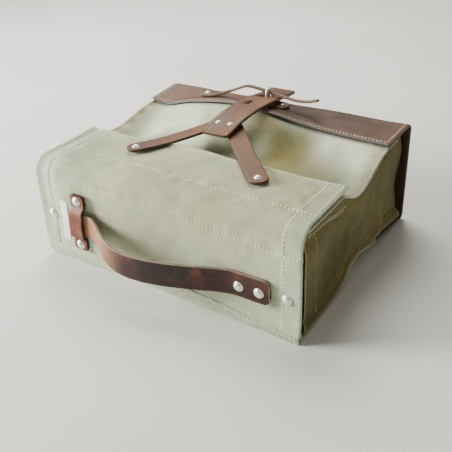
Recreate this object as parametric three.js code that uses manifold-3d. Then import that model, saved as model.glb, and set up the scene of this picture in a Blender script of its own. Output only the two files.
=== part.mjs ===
// A small canvas and leather satchel, lying on its back.
// Millimetres. +X runs across the bag, +Y from its top panel to its leather bottom, +Z from its back to its front.
// Inside the bag group Y is 0 at the outside of the top panel. The exported origin is the middle of the back.
import * as THREE from 'three';
import { mergeVertices } from 'three/addons/utils/BufferGeometryUtils.js';
import Module from 'manifold-3d';

const wasm = await Module();
wasm.setup();

// The bag.
const HALF_WIDTH = 150;
const LENGTH = 248;
const DEPTH = 113.5;
const CANVAS = 2;
const LEATHER = 3;
const GAP = 0.3;

// The lid: a top panel, a rounded fold and a flap that covers the upper front.
const SEAM_HEIGHT = 5.5;
const FOLD_RADIUS = 20;
const FLAP_HEIGHT = 111;
const FLAP_HINGE = 36;
const FLAP_END = 89;

// The body: canvas front and back, side gussets, and a leather bottom that wraps onto front and back.
const FRONT_TOP = 22;
const FRONT_HEIGHT = 106;
const LEATHER_FRONT_LEFT = 195;
const LEATHER_FRONT_RIGHT = 184;
const LEATHER_BACK = 174;
const CORNER_RADIUS = 7;
const GUSSET_INSET = 5;
const SAG_START = 78;
const SLACK = 9;
const SLACK_RIGHT = 16;
const LEATHER_LAP = 14;
const LEATHER_RISE = 12;
const LEATHER_DIP = 7;

// The handle: one strap that bows away from the top panel, riveted at +X and sliding in a keeper at -X.
const HANDLE_WIDTH = 25;
const HANDLE_THICKNESS = 3.5;
const HANDLE_MIDDLE = 43;
const HANDLE_END = -112;
const HANDLE_JOINTS = [74, -5, -78];
const STOP_PLATE_HALF = [4.4, 22.3];
const STOP_PLATE_THICKNESS = 1.6;
const KEEPER_X = -94.5;
const KEEPER_WIDTH = 17;

// The closure: two arms riveted to the flap carry a tab, which drops over a staple on the leather.
const ARM_HINGE = 76;
const ARM_LEVEL = 115;
const TAB_X = -5.5;
const TAB_HALF_WIDTH = 16;
const STAPLE_X = -4.5;
const STAPLE_Y = 220.5;
const STAPLE_WIRE = 2.8;
const PATCH = 2.5;
const PATCH_X = -6;
const PATCH_HALF_LENGTH = 27.5;
const PATCH_HALF_WIDTH = 9;
const SLOT_LENGTH = 19;
const SLOT_WIDTH = 6;

// The lace that locks the closure.
const LACE_THICKNESS = 2.6;
const LACE_WIDTH = 5;
const LACE_END_WIDTH = 14;

// Rivets.
const HEAD_RADIUS = 5;
const CORNER_HEAD = 5.2;
const ARM_HEAD = 3.8;
const LACE_HEAD = 3.3;
const STAPLE_HEAD = 3;
const TAB_HEAD = 2.8;
const SHANK_RADIUS = 1.6;
const HOLE_RADIUS = 2;

const canvasCloth = new THREE.MeshStandardMaterial({ color: 0xa9ad97, roughness: 0.95, metalness: 0 });
const bridleLeather = new THREE.MeshStandardMaterial({ color: 0x6b5140, roughness: 0.6, metalness: 0 });
const handleLeather = new THREE.MeshStandardMaterial({ color: 0x5a3327, roughness: 0.5, metalness: 0 });
const nickel = new THREE.MeshStandardMaterial({ color: 0xd8d8d4, roughness: 0.25, metalness: 1 });
const steel = new THREE.MeshStandardMaterial({ color: 0xb4b7b6, roughness: 0.4, metalness: 1 });

const bag = new THREE.Group();
bag.position.y = -LENGTH / 2;

function add(name, geometry, material) {
  const mesh = new THREE.Mesh(geometry, material);
  mesh.name = name;
  bag.add(mesh);
  return mesh;
}

// Solids: closed three.js geometry in and out, joined or cut by manifold-3d.

function toManifold(geometry) {
  const bare = geometry.clone();
  bare.deleteAttribute('normal');
  bare.deleteAttribute('uv');
  const merged = mergeVertices(bare, 1e-4);
  const vertProperties = new Float32Array(merged.attributes.position.array);
  const triVerts = new Uint32Array(merged.index.array);
  return new wasm.Manifold(new wasm.Mesh({ numProp: 3, vertProperties, triVerts }));
}

function toGeometry(manifold) {
  const mesh = manifold.getMesh();
  const geometry = new THREE.BufferGeometry();
  geometry.setAttribute('position', new THREE.BufferAttribute(new Float32Array(mesh.vertProperties), 3));
  geometry.setIndex(new THREE.BufferAttribute(new Uint32Array(mesh.triVerts), 1));
  geometry.computeVertexNormals();
  return geometry;
}

function cut(geometry, tools) {
  return toGeometry(tools.reduce((rest, tool) => rest.subtract(toManifold(tool)), toManifold(geometry)));
}

function trim(geometry, prism) {
  return toGeometry(toManifold(geometry).intersect(toManifold(prism)));
}

// A sheet of one thickness below an outer surface, given as surface(u, v, point) with u and v from 0 to 1.
function sheet(surface, thickness, columns, rows) {
  const geometry = new THREE.BoxGeometry(1, 1, 1, columns, rows, 1);
  const position = geometry.attributes.position;
  const step = 1e-3;
  const here = new THREE.Vector3();
  const ahead = new THREE.Vector3();
  const behind = new THREE.Vector3();
  const alongU = new THREE.Vector3();
  const alongV = new THREE.Vector3();
  for (let i = 0; i < position.count; i++) {
    const u = position.getX(i) + 0.5;
    const v = position.getY(i) + 0.5;
    surface(Math.min(u + step, 1), v, ahead);
    surface(Math.max(u - step, 0), v, behind);
    alongU.subVectors(ahead, behind);
    surface(u, Math.min(v + step, 1), ahead);
    surface(u, Math.max(v - step, 0), behind);
    alongV.subVectors(ahead, behind);
    surface(u, v, here);
    here.addScaledVector(alongU.cross(alongV).normalize(), thickness * (position.getZ(i) - 0.5));
    position.setXYZ(i, here.x, here.y, here.z);
  }
  geometry.computeVertexNormals();
  return geometry;
}

// A strap under a curve, with its width along the direction across.
function strap(curve, across, width, thickness, steps) {
  const place = (u, v, point) => {
    curve.getPoint(u, point);
    point.addScaledVector(across, (v - 0.5) * width);
  };
  return sheet(place, thickness, steps, 1);
}

function curveThrough(points) {
  return new THREE.CatmullRomCurve3(points.map((point) => new THREE.Vector3(...point)));
}

// The part of a curve between two values of one coordinate that falls or rises all along it.
function stretch(curve, axis, from, to) {
  const find = (value) => {
    const rising = curve.getPoint(1)[axis] > curve.getPoint(0)[axis];
    let low = 0;
    let high = 1;
    for (let i = 0; i < 40; i++) {
      const middle = (low + high) / 2;
      if (curve.getPoint(middle)[axis] < value === rising) low = middle;
      else high = middle;
    }
    return (low + high) / 2;
  };
  const start = find(from);
  const end = find(to);
  const part = new THREE.Curve();
  part.getPoint = (t, point = new THREE.Vector3()) => curve.getPoint(start + (end - start) * t, point);
  return part;
}

// Prisms to cut and trim with.

function holeAlong(axis, position, radius = HOLE_RADIUS, length = 24) {
  const hole = new THREE.CylinderGeometry(radius, radius, length, 10);
  if (axis === 'z') hole.rotateX(Math.PI / 2);
  return hole.translate(...position);
}

function roundedRectangle(halfWidth, halfHeight, radius) {
  const shape = new THREE.Shape();
  shape.absarc(halfWidth - radius, halfHeight - radius, radius, 0, Math.PI / 2);
  shape.absarc(radius - halfWidth, halfHeight - radius, radius, Math.PI / 2, Math.PI);
  shape.absarc(radius - halfWidth, radius - halfHeight, radius, Math.PI, Math.PI * 1.5);
  shape.absarc(halfWidth - radius, radius - halfHeight, radius, Math.PI * 1.5, Math.PI * 2);
  return shape;
}

function prism(shape, depth, curveSegments = 4) {
  const solid = new THREE.ExtrudeGeometry(shape, { depth, bevelEnabled: false, curveSegments });
  return solid.translate(0, 0, -depth / 2);
}

function block(low, high) {
  const size = low.map((value, i) => high[i] - value);
  const middle = low.map((value, i) => (high[i] + value) / 2);
  return new THREE.BoxGeometry(...size).translate(...middle);
}

// A rivet in one solid: domed head with a rim, shank, and a washer under what it grips.
function rivet(name, position, axis, grip, head) {
  const washer = Math.min(head, 4);
  const profile = [
    [0, head * 0.52],
    [head * 0.5, head * 0.44],
    [head * 0.85, head * 0.18],
    [head, head * 0.1],
    [head, 0],
    [SHANK_RADIUS, 0],
    [SHANK_RADIUS, -grip],
    [washer, -grip],
    [washer, -grip - 1],
    [0, -grip - 1],
  ];
  const points = profile.reverse().map(([radius, height]) => new THREE.Vector2(radius, height));
  const mesh = add(name, new THREE.LatheGeometry(points, 10), nickel);
  mesh.position.set(...position);
  mesh.rotation.x = axis === 'y' ? Math.PI : Math.PI / 2;
}

// Sheets with straight rows across the bag: each row gives its Y and Z at a place across the bag.

function rowSheet(rows, thickness, columns) {
  const surface = (u, v, point) => {
    const x = HALF_WIDTH * (2 * u - 1);
    const place = v * (rows.length - 1);
    const index = Math.min(Math.floor(place), rows.length - 2);
    const [y0, z0] = rows[index](x);
    const [y1, z1] = rows[index + 1](x);
    const part = place - index;
    point.set(x, THREE.MathUtils.lerp(y0, y1, part), THREE.MathUtils.lerp(z0, z1, part));
  };
  return sheet(surface, thickness, columns, rows.length - 1);
}

// A quarter turn of rows about a centre, from one angle to the next, with its first row left out.
function turnRows(y, z, radius, startAngle, steps) {
  const rows = [];
  for (let i = 1; i <= steps; i++) {
    const angle = startAngle - ((i / steps) * Math.PI) / 2;
    rows.push(() => [y + radius * Math.cos(angle), z + radius * Math.sin(angle)]);
  }
  return rows;
}

// The body.

function leatherEdge(x) {
  return THREE.MathUtils.lerp(LEATHER_FRONT_LEFT, LEATHER_FRONT_RIGHT, (x + HALF_WIDTH) / (2 * HALF_WIDTH));
}

// A smooth hump about a middle, 1 high.
function hump(x, middle, width) {
  return Math.exp(-(((x - middle) / width) ** 2) / 2);
}

// Outside of the leather at the front: its free edge rises in the middle and dips near -X.
function leatherHeight(x, y) {
  const rise = LEATHER_RISE * hump(x, -22, 48) - LEATHER_DIP * hump(x, -130, 18);
  const along = (y - leatherEdge(x)) / (LENGTH - CORNER_RADIUS - leatherEdge(x));
  return DEPTH + rise * (1 - THREE.MathUtils.clamp(along, 0, 1));
}

// Outside of the front canvas: level under the flap, then slack down to the leather, most of all at +X.
function frontHeight(x, y) {
  const slack = THREE.MathUtils.lerp(SLACK, SLACK_RIGHT, Math.max(x / HALF_WIDTH, 0) ** 2);
  const under = leatherHeight(x, y) - LEATHER - 3 * GAP;
  const along = THREE.MathUtils.clamp((y - SAG_START) / (leatherEdge(x) - SAG_START), 0, 1);
  return THREE.MathUtils.lerp(FRONT_HEIGHT, under, along) - slack * Math.sin(Math.PI * along ** 0.75) ** 2;
}

function makeFrontPanel() {
  const surface = (u, v, point) => {
    const x = HALF_WIDTH * (2 * u - 1);
    const y = THREE.MathUtils.lerp(FRONT_TOP, leatherEdge(x) + LEATHER_LAP, v);
    point.set(x, y, frontHeight(x, y));
  };
  add('front_panel', sheet(surface, CANVAS, 14, 14), canvasCloth);
}

// The back panel turns up at its top edge, where the lid is sewn on, and tucks inside the leather at its other end.
function makeBackPanel() {
  const inside = LEATHER + GAP;
  const rows = [
    () => [LENGTH - CORNER_RADIUS, inside],
    () => [LEATHER_BACK - 0.6, inside],
    () => [LEATHER_BACK - 6, 0],
    () => [2, 0],
    () => [0, 2],
    () => [0, SEAM_HEIGHT - GAP],
  ];
  add('back_panel', rowSheet(rows, CANVAS, 2), canvasCloth);
}

function makeGusset(name, side) {
  const face = side * (HALF_WIDTH - GUSSET_INSET);
  const end = LENGTH - LEATHER - 2;
  const bottom = LEATHER + CANVAS + 2 * GAP;
  const surface = (u, v, point) => {
    const y = THREE.MathUtils.lerp(FRONT_TOP - 3, end, side > 0 ? u : 1 - u);
    const top = frontHeight(face, y) - CANVAS - 1.2;
    point.set(face, y, THREE.MathUtils.lerp(bottom, top, v));
  };
  add(name, sheet(surface, CANVAS, 16, 2), canvasCloth);
}

// One piece of leather: front strip, bottom, and back strip, with rounded corners.
function makeLeatherBottom(holes) {
  const cornerY = LENGTH - CORNER_RADIUS;
  const rows = [0, 0.25, 0.5, 0.75, 1].map((part) => (x) => {
    const y = THREE.MathUtils.lerp(leatherEdge(x), cornerY, part);
    return [y, leatherHeight(x, y)];
  });
  rows.push(...turnRows(cornerY, DEPTH - CORNER_RADIUS, CORNER_RADIUS, Math.PI / 2, 4));
  rows.push(() => [LENGTH, CORNER_RADIUS]);
  rows.push(...turnRows(cornerY, CORNER_RADIUS, CORNER_RADIUS, 0, 4));
  rows.push(() => [LEATHER_BACK, 0]);
  add('leather_bottom', cut(rowSheet(rows, LEATHER, 16), holes), bridleLeather);
}

// The lid.

function makeLidPanel(holes) {
  const foldZ = FLAP_HEIGHT - FOLD_RADIUS;
  const rows = [
    () => [0, SEAM_HEIGHT],
    () => [0, (SEAM_HEIGHT + foldZ) / 2],
    () => [0, foldZ],
    ...turnRows(FOLD_RADIUS, foldZ, FOLD_RADIUS, Math.PI, 6),
    () => [FLAP_HINGE - GAP, FLAP_HEIGHT],
  ];
  add('lid_panel', cut(rowSheet(rows, CANVAS, 2), holes), canvasCloth);
}

// Outside of the flap: its free edge lifts a little between the arms and at the -X corner.
function flapHeight(x, y) {
  const along = THREE.MathUtils.clamp((y - FLAP_HINGE) / (FLAP_END - FLAP_HINGE), 0, 1);
  const lift = 2.5 * hump(x, -10, 26) + 1.5 * THREE.MathUtils.smoothstep(-x, 90, 140);
  return FLAP_HEIGHT + along ** 2 * lift;
}

function makeFlapPanel(holes) {
  const surface = (u, v, point) => {
    const x = HALF_WIDTH * (2 * u - 1);
    const y = THREE.MathUtils.lerp(FLAP_HINGE, FLAP_END, v);
    point.set(x, y, flapHeight(x, y));
  };
  add('flap_panel', cut(sheet(surface, CANVAS, 16, 4), holes), canvasCloth);
}

// The handle.

const handleCurve = curveThrough([
  [122, -3.8, HANDLE_MIDDLE],
  [104, -3.8, HANDLE_MIDDLE],
  [93, -3.8, HANDLE_MIDDLE],
  [83, -4.3, HANDLE_MIDDLE],
  [73, -6.8, HANDLE_MIDDLE],
  [55, -13.8, HANDLE_MIDDLE],
  [38, -20, HANDLE_MIDDLE],
  [16, -26.5, HANDLE_MIDDLE],
  [-6, -30, HANDLE_MIDDLE],
  [-18, -30.2, HANDLE_MIDDLE + 0.3],
  [-33, -28.3, HANDLE_MIDDLE + 1.8],
  [-46, -24, HANDLE_MIDDLE + 3.8],
  [-58, -17, HANDLE_MIDDLE + 5.6],
  [-69, -9.6, HANDLE_MIDDLE + 7],
  [-78, -5, HANDLE_MIDDLE + 7.9],
  [-86, -3.9, HANDLE_MIDDLE + 8.4],
  [-94, -3.8, HANDLE_MIDDLE + 8.5],
  [-104, -3.8, HANDLE_MIDDLE + 8.5],
  [HANDLE_END, -3.8, HANDLE_MIDDLE + 8.5],
]);

function handleStretch(from, to, steps) {
  const along = stretch(handleCurve, 'x', from, to);
  return strap(along, new THREE.Vector3(0, 0, -1), HANDLE_WIDTH, HANDLE_THICKNESS, steps);
}

function makeHandle(holes) {
  const [right, middle, left] = HANDLE_JOINTS;
  const outline = prism(roundedRectangle(61, HANDLE_WIDTH / 2, 6), 40);
  outline.rotateX(Math.PI / 2).translate(61, 0, HANDLE_MIDDLE);
  const anchor = trim(handleStretch(122, right + 0.4, 6), outline);
  add('handle_strap_anchor', cut(anchor, holes), handleLeather);
  add('handle_strap_right', handleStretch(right - 0.4, middle + 0.7, 7), handleLeather);
  add('handle_strap_left', handleStretch(middle - 0.7, left + 0.4, 7), handleLeather);
  add('handle_strap_end', handleStretch(left - 0.4, HANDLE_END, 4), handleLeather);
}

// The steel plate across the strap's end, which can't pass through the keeper.
function makeStopPlate() {
  const plate = prism(roundedRectangle(...STOP_PLATE_HALF, 1.5), STOP_PLATE_THICKNESS);
  plate.rotateX(Math.PI / 2).rotateY(0.07).translate(-111.2, -4.9, 52.2);
  add('handle_stop_plate', plate, steel);
}

function makeKeeper(holes) {
  const low = -LEATHER - 2 * GAP;
  const over = -HANDLE_THICKNESS - LEATHER - 3 * GAP;
  const curve = curveThrough([
    [KEEPER_X - 3, low, 21],
    [KEEPER_X - 2.7, low, 27],
    [KEEPER_X - 2.6, low, 32.5],
    [KEEPER_X - 2.1, over, 37],
    [KEEPER_X - 1.6, over - 0.4, 44],
    [KEEPER_X - 0.4, over - 0.4, 60],
    [KEEPER_X + 0.2, over, 66],
    [KEEPER_X + 0.8, low, 71.5],
    [KEEPER_X + 1.1, low, 77],
    [KEEPER_X + 1.5, low, 84],
  ]);
  const loop = strap(curve, new THREE.Vector3(-1, 0, 0), KEEPER_WIDTH, LEATHER, 22);
  add('handle_keeper', cut(loop, holes), handleLeather);
}

// The closure.

const arms = {
  arm_left: { rivet: [-68, 63], end: [TAB_X, 158], width: 17.5, keep: [-200, TAB_X - GAP / 2] },
  arm_right: { rivet: [74.5, 60.5], end: [TAB_X, 144], width: 20, keep: [TAB_X + GAP / 2, 200] },
};

// Outside of the arms: on the flap, then rising to pass under the tab.
function armHeight(y) {
  return ARM_LEVEL + 11 * THREE.MathUtils.smoothstep(y, ARM_HINGE, 178);
}

function armGeometry({ rivet: [startX, startY], end: [endX, endY], width }) {
  const run = new THREE.Vector2(endX - startX, endY - startY);
  const direction = run.clone().normalize();
  const reach = width / 2;
  const surface = (u, v, point) => {
    const along = THREE.MathUtils.lerp(-reach, run.length() + reach, u);
    const aside = (v - 0.5) * width;
    const x = startX + direction.x * along - direction.y * aside;
    const y = startY + direction.y * along + direction.x * aside;
    point.set(x, y, armHeight(y));
  };
  const length = run.length() + 4 * reach;
  const outline = prism(roundedRectangle(length / 2, reach, reach - 0.01), 80, 6);
  outline.translate(length / 2 - reach, 0, 100).rotateZ(run.angle()).translate(startX, startY, 0);
  return trim(sheet(surface, LEATHER, 14, 2), outline);
}

// Each arm bends just past its rivet, so it is split there: its end stays on the flap, the rest lifts.
function makeArm(name) {
  const arm = arms[name];
  const geometry = cut(armGeometry(arm), frontHoles([arm.rivet, ...Object.values(tabRivets)]));
  const [low, high] = arm.keep;
  add(`${name}_end`, trim(geometry, block([-200, 0, 50], [200, ARM_HINGE - GAP, 200])), bridleLeather);
  add(name, trim(geometry, block([low, ARM_HINGE + GAP, 50], [high, 300, 200])), bridleLeather);
}

const tabCurve = curveThrough([
  [TAB_X, 110, 123],
  [TAB_X, 138, 128.4],
  [TAB_X, 165, 130.4],
  [TAB_X, 192, 129.6],
  [TAB_X, 216, 127.2],
  [TAB_X, 240, 124.2],
  [TAB_X, 256, 123.2],
]);

function slotAt(x, y, length, width) {
  return prism(roundedRectangle(width / 2, length / 2, width / 2 - 0.01), 40, 3).translate(x, y, 125);
}

function makeTab(holes) {
  const tab = strap(tabCurve, new THREE.Vector3(-1, 0, 0), 2 * TAB_HALF_WIDTH, LEATHER, 14);
  const outline = prism(roundedRectangle(TAB_HALF_WIDTH, 73, 4), 60).translate(TAB_X, 183, 125);
  const slots = [slotAt(STAPLE_X, STAPLE_Y, SLOT_LENGTH, SLOT_WIDTH), slotAt(TAB_X, 186, 15, 3.4)];
  add('closure_tab', cut(trim(tab, outline), [...slots, ...holes]), bridleLeather);
}

// A leather patch under the tab, and a wire staple that stands up from it.
function makeStaple(holes) {
  const middle = STAPLE_Y - 3;
  const surface = (u, v, point) => {
    const x = PATCH_X + (PATCH_HALF_LENGTH + 2) * (2 * u - 1);
    const y = middle + (PATCH_HALF_WIDTH + 2) * (2 * v - 1);
    point.set(x, y, patchHeight(x, y));
  };
  const corners = roundedRectangle(PATCH_HALF_LENGTH, PATCH_HALF_WIDTH, 6);
  const outline = prism(corners, 60).translate(PATCH_X, middle, 110);
  add('staple_base', cut(trim(sheet(surface, PATCH, 8, 4), outline), holes), bridleLeather);
  const reach = 5.4;
  const corner = 3;
  const near = patchHeight(STAPLE_X, STAPLE_Y - reach) + 0.5;
  const far = patchHeight(STAPLE_X, STAPLE_Y + reach) + 0.5;
  const high = near + 12.5;
  const at = (y, z) => new THREE.Vector3(STAPLE_X, STAPLE_Y + y, z);
  const curve = new THREE.CurvePath();
  curve.add(new THREE.LineCurve3(at(-reach, near), at(-reach, high - corner)));
  curve.add(new THREE.QuadraticBezierCurve3(at(-reach, high - corner), at(-reach, high), at(corner - reach, high)));
  curve.add(new THREE.LineCurve3(at(corner - reach, high), at(reach - corner, high)));
  curve.add(new THREE.QuadraticBezierCurve3(at(reach - corner, high), at(reach, high), at(reach, high - corner)));
  curve.add(new THREE.LineCurve3(at(reach, high - corner), at(reach, far)));
  const section = new THREE.Shape().absarc(0, 0, STAPLE_WIRE / 2, 0, 2 * Math.PI);
  const wire = new THREE.ExtrudeGeometry(section, { steps: 16, extrudePath: curve, curveSegments: 4 });
  add('staple_loop', wire, steel);
}

function patchHeight(x, y) {
  return leatherHeight(x, y) + GAP + PATCH;
}

// The strap that locks the staple: riveted at -X, humped, through the loop, and on to a free tip at +X.
const lockCurve = curveThrough([
  [-91, 215, 120],
  [-80, 215, 120.2],
  [-66, 215.5, 122.8],
  [-48, 216.5, 129.5],
  [-30, 218, 136.2],
  [-16, 219.5, 134.8],
  [0, 220.5, 131.8],
  [16, 220, 129.8],
  [32, 219, 128.4],
  [46, 218.5, 130],
  [57, 218, 133.4],
]);

function lockStretch(from, to, steps) {
  const along = stretch(lockCurve, 'x', from, to);
  const surface = (u, v, point) => {
    along.getPoint(u, point);
    const widening = THREE.MathUtils.smoothstep(-point.x, 36, 80);
    point.y += (v - 0.5) * THREE.MathUtils.lerp(LACE_WIDTH, LACE_END_WIDTH, widening);
  };
  return sheet(surface, LACE_THICKNESS, steps, 1);
}

function makeLockStrap(holes) {
  add('lock_strap_anchor', cut(lockStretch(-91, -66.2, 4), holes), bridleLeather);
  add('lock_strap_near', lockStretch(-65.8, -33.2, 6), bridleLeather);
  add('lock_strap_far', lockStretch(-32.8, -0.2, 6), bridleLeather);
  add('lock_strap_tail', lockStretch(0.2, 57, 8), bridleLeather);
}

// Rivets, each with a hole through every layer that it holds.

const topRivets = {
  handle_rivet_inner: { at: [91, 41.5], stack: HANDLE_THICKNESS },
  handle_rivet_outer: { at: [111.5, 41.5], stack: HANDLE_THICKNESS },
  keeper_rivet_upper: { at: [-93.7, 77], stack: LEATHER },
  keeper_rivet_lower: { at: [-97.2, 27], stack: LEATHER },
  corner_rivet_left: { at: [-134, 52], stack: 0 },
  corner_rivet_right: { at: [137, 41], stack: 0 },
};
const baseRivets = { staple_rivet_left: PATCH_X - 21, staple_rivet_right: PATCH_X + 21 };
const tabRivets = { tab_rivet_left: [-12.5, 129.5], tab_rivet_right: [1.5, 130] };
const lockRivet = [-83, 215];

function topHoles(prefix) {
  const chosen = Object.entries(topRivets).filter(([name]) => name.startsWith(prefix));
  return chosen.map(([, { at: [x, z] }]) => holeAlong('y', [x, 0, z]));
}

function frontHoles(places) {
  return places.map(([x, y]) => holeAlong('z', [x, y, 118]));
}

function makeRivets() {
  for (const [name, { at: [x, z], stack }] of Object.entries(topRivets)) {
    const under = stack ? -stack - 3 * GAP : -GAP;
    rivet(name, [x, under, z], 'y', CANVAS + GAP - under, stack ? HEAD_RADIUS : CORNER_HEAD);
  }
  for (const [name, x] of Object.entries(baseRivets)) {
    const y = STAPLE_Y - 3;
    const under = patchHeight(x, y) + 1.2;
    rivet(name, [x, y, under], 'z', under - leatherHeight(x, y) + LEATHER + 1.4, STAPLE_HEAD);
  }
  for (const [name, [x, y]] of Object.entries(tabRivets)) {
    const under = tabTop(y) + 0.8;
    rivet(name, [x, y, under], 'z', under - armHeight(y) + LEATHER + 1.1, TAB_HEAD);
  }
  for (const [name, { rivet: [x, y] }] of Object.entries(arms)) {
    const under = ARM_LEVEL + GAP;
    rivet(name.replace('arm', 'arm_rivet'), [x, y, under], 'z', under - flapHeight(x, y) + CANVAS + 0.5, ARM_HEAD);
  }
  const under = lockCurve.getPoint(0).z + GAP;
  const grip = under - leatherHeight(...lockRivet) + LEATHER + 1.2;
  rivet('lock_strap_rivet', [...lockRivet, under], 'z', grip, LACE_HEAD);
}

function tabTop(y) {
  return stretch(tabCurve, 'y', y, 250).getPoint(0).z;
}

const basePlaces = Object.values(baseRivets).map((x) => [x, STAPLE_Y - 3]);
makeFrontPanel();
makeBackPanel();
makeGusset('gusset_left', -1);
makeGusset('gusset_right', 1);
makeLeatherBottom(frontHoles([...basePlaces, lockRivet]));
makeLidPanel(topHoles(''));
makeFlapPanel(frontHoles([arms.arm_left.rivet, arms.arm_right.rivet]));
makeHandle(topHoles('handle'));
makeStopPlate();
makeKeeper(topHoles('keeper'));
makeArm('arm_left');
makeArm('arm_right');
makeTab(frontHoles(Object.values(tabRivets)));
makeStaple(frontHoles(basePlaces));
makeLockStrap(frontHoles([lockRivet]));
makeRivets();

const satchel = new THREE.Group();
satchel.add(bag);

export default satchel;
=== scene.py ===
"""The looks of a canvas and leather satchel, lying on its back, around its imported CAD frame.

Shapes are written in millimetres in the bag's own coordinates: X across it, Y from the outside of
the top panel to the leather bottom, Z from the back to the front. place() turns them into the frame.
"""

import math

import bpy
import numpy as np
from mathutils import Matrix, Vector


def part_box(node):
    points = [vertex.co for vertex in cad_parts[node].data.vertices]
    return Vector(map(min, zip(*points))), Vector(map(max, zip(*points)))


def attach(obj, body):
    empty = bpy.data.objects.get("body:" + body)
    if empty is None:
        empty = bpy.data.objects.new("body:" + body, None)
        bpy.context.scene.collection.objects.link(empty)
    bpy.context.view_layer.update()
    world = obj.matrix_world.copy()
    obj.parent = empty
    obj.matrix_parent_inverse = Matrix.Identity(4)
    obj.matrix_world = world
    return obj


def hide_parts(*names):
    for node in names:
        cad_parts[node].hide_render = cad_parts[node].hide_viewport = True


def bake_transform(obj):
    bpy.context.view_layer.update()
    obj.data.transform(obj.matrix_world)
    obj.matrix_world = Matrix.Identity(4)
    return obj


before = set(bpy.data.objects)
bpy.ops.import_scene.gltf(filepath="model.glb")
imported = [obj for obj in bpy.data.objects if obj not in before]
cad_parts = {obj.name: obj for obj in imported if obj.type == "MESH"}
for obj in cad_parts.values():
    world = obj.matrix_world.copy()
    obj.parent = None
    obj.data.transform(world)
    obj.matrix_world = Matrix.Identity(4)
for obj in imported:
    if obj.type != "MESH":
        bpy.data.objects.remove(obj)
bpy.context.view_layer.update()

MM = 0.001
TOP_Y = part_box("lid_panel")[0].y
HALF_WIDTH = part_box("lid_panel")[1].x / MM
LENGTH = (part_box("leather_bottom")[1].y - TOP_Y) / MM
FLAP_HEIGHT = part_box("lid_panel")[1].z / MM
FLAP_END = (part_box("flap_panel")[1].y - TOP_Y) / MM
FLAP_HINGE = (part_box("flap_panel")[0].y - TOP_Y) / MM
DEPTH = 113.5
FOLD_RADIUS = 20
FRONT_TOP = 14
FRONT_HEIGHT = 106
SAG_START = 78
LEATHER_FRONT_LEFT = 195
LEATHER_FRONT_RIGHT = 184
LEATHER_BACK = 174
LEATHER_THICKNESS = 3
CORNER_RADIUS = 7
CANVAS_THICKNESS = 1.8
HEM_WIDTH = 18.5
TAB_X = -5.5
STAPLE = (-4.5, 220.5)
PATCH_X = -6
PATCH_THICKNESS = 2.5
HANDLE_WIDTH = 25
HANDLE_MIDDLE = 43
SLUMP_FRAMES = 24
SIDES = ((-1, "left"), (1, "right"))
ACROSS = np.linspace(-HALF_WIDTH, HALF_WIDTH, 151)


def place(points):
    """Bag millimetres to frame metres."""
    moved = np.array(points, float) * MM
    moved[..., 1] += TOP_Y
    return moved


def smoothstep(value, low, high):
    t = np.clip((value - low) / (high - low), 0, 1)
    return t * t * (3 - 2 * t)


def lerp(a, b, t):
    return a + (b - a) * t


def bell(value, centre, width):
    return np.exp(-(((value - centre) / width) ** 2) / 2)


def ripples(a, b, length, seed, count=7):
    """Soft random undulation of about unit height over a plane, with waves of about this length."""
    random = np.random.default_rng(seed)
    total = np.zeros(np.broadcast(a, b).shape)
    for _ in range(count):
        angle = random.uniform(0, 2 * math.pi)
        wave = length * random.uniform(0.6, 1.6)
        phase = random.uniform(0, 2 * math.pi)
        total += np.sin((a * math.cos(angle) + b * math.sin(angle)) * 2 * math.pi / wave + phase)
    return total / math.sqrt(count)


def unit(vectors):
    """Vectors at length 1. A zero vector stays zero."""
    return vectors / np.maximum(np.linalg.norm(vectors, axis=-1, keepdims=True), 1e-9)


def distances(line):
    """How far along a line each of its points is."""
    return np.concatenate([[0], np.cumsum(np.linalg.norm(np.diff(line, axis=0), axis=1))])


def on_line(places, along, values):
    """A line's values, such as its points, at places along it."""
    return np.stack([np.interp(places, along, values[:, k]) for k in range(3)], -1)


def rgb(red, green, blue):
    """A screen colour, 0 to 255, as a linear colour."""
    return (*(((c / 255 + 0.055) / 1.055) ** 2.4 for c in (red, green, blue)), 1)


# ---- materials

RIB_PITCH = 0.0023
THREAD_PITCH = 0.0012


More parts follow.
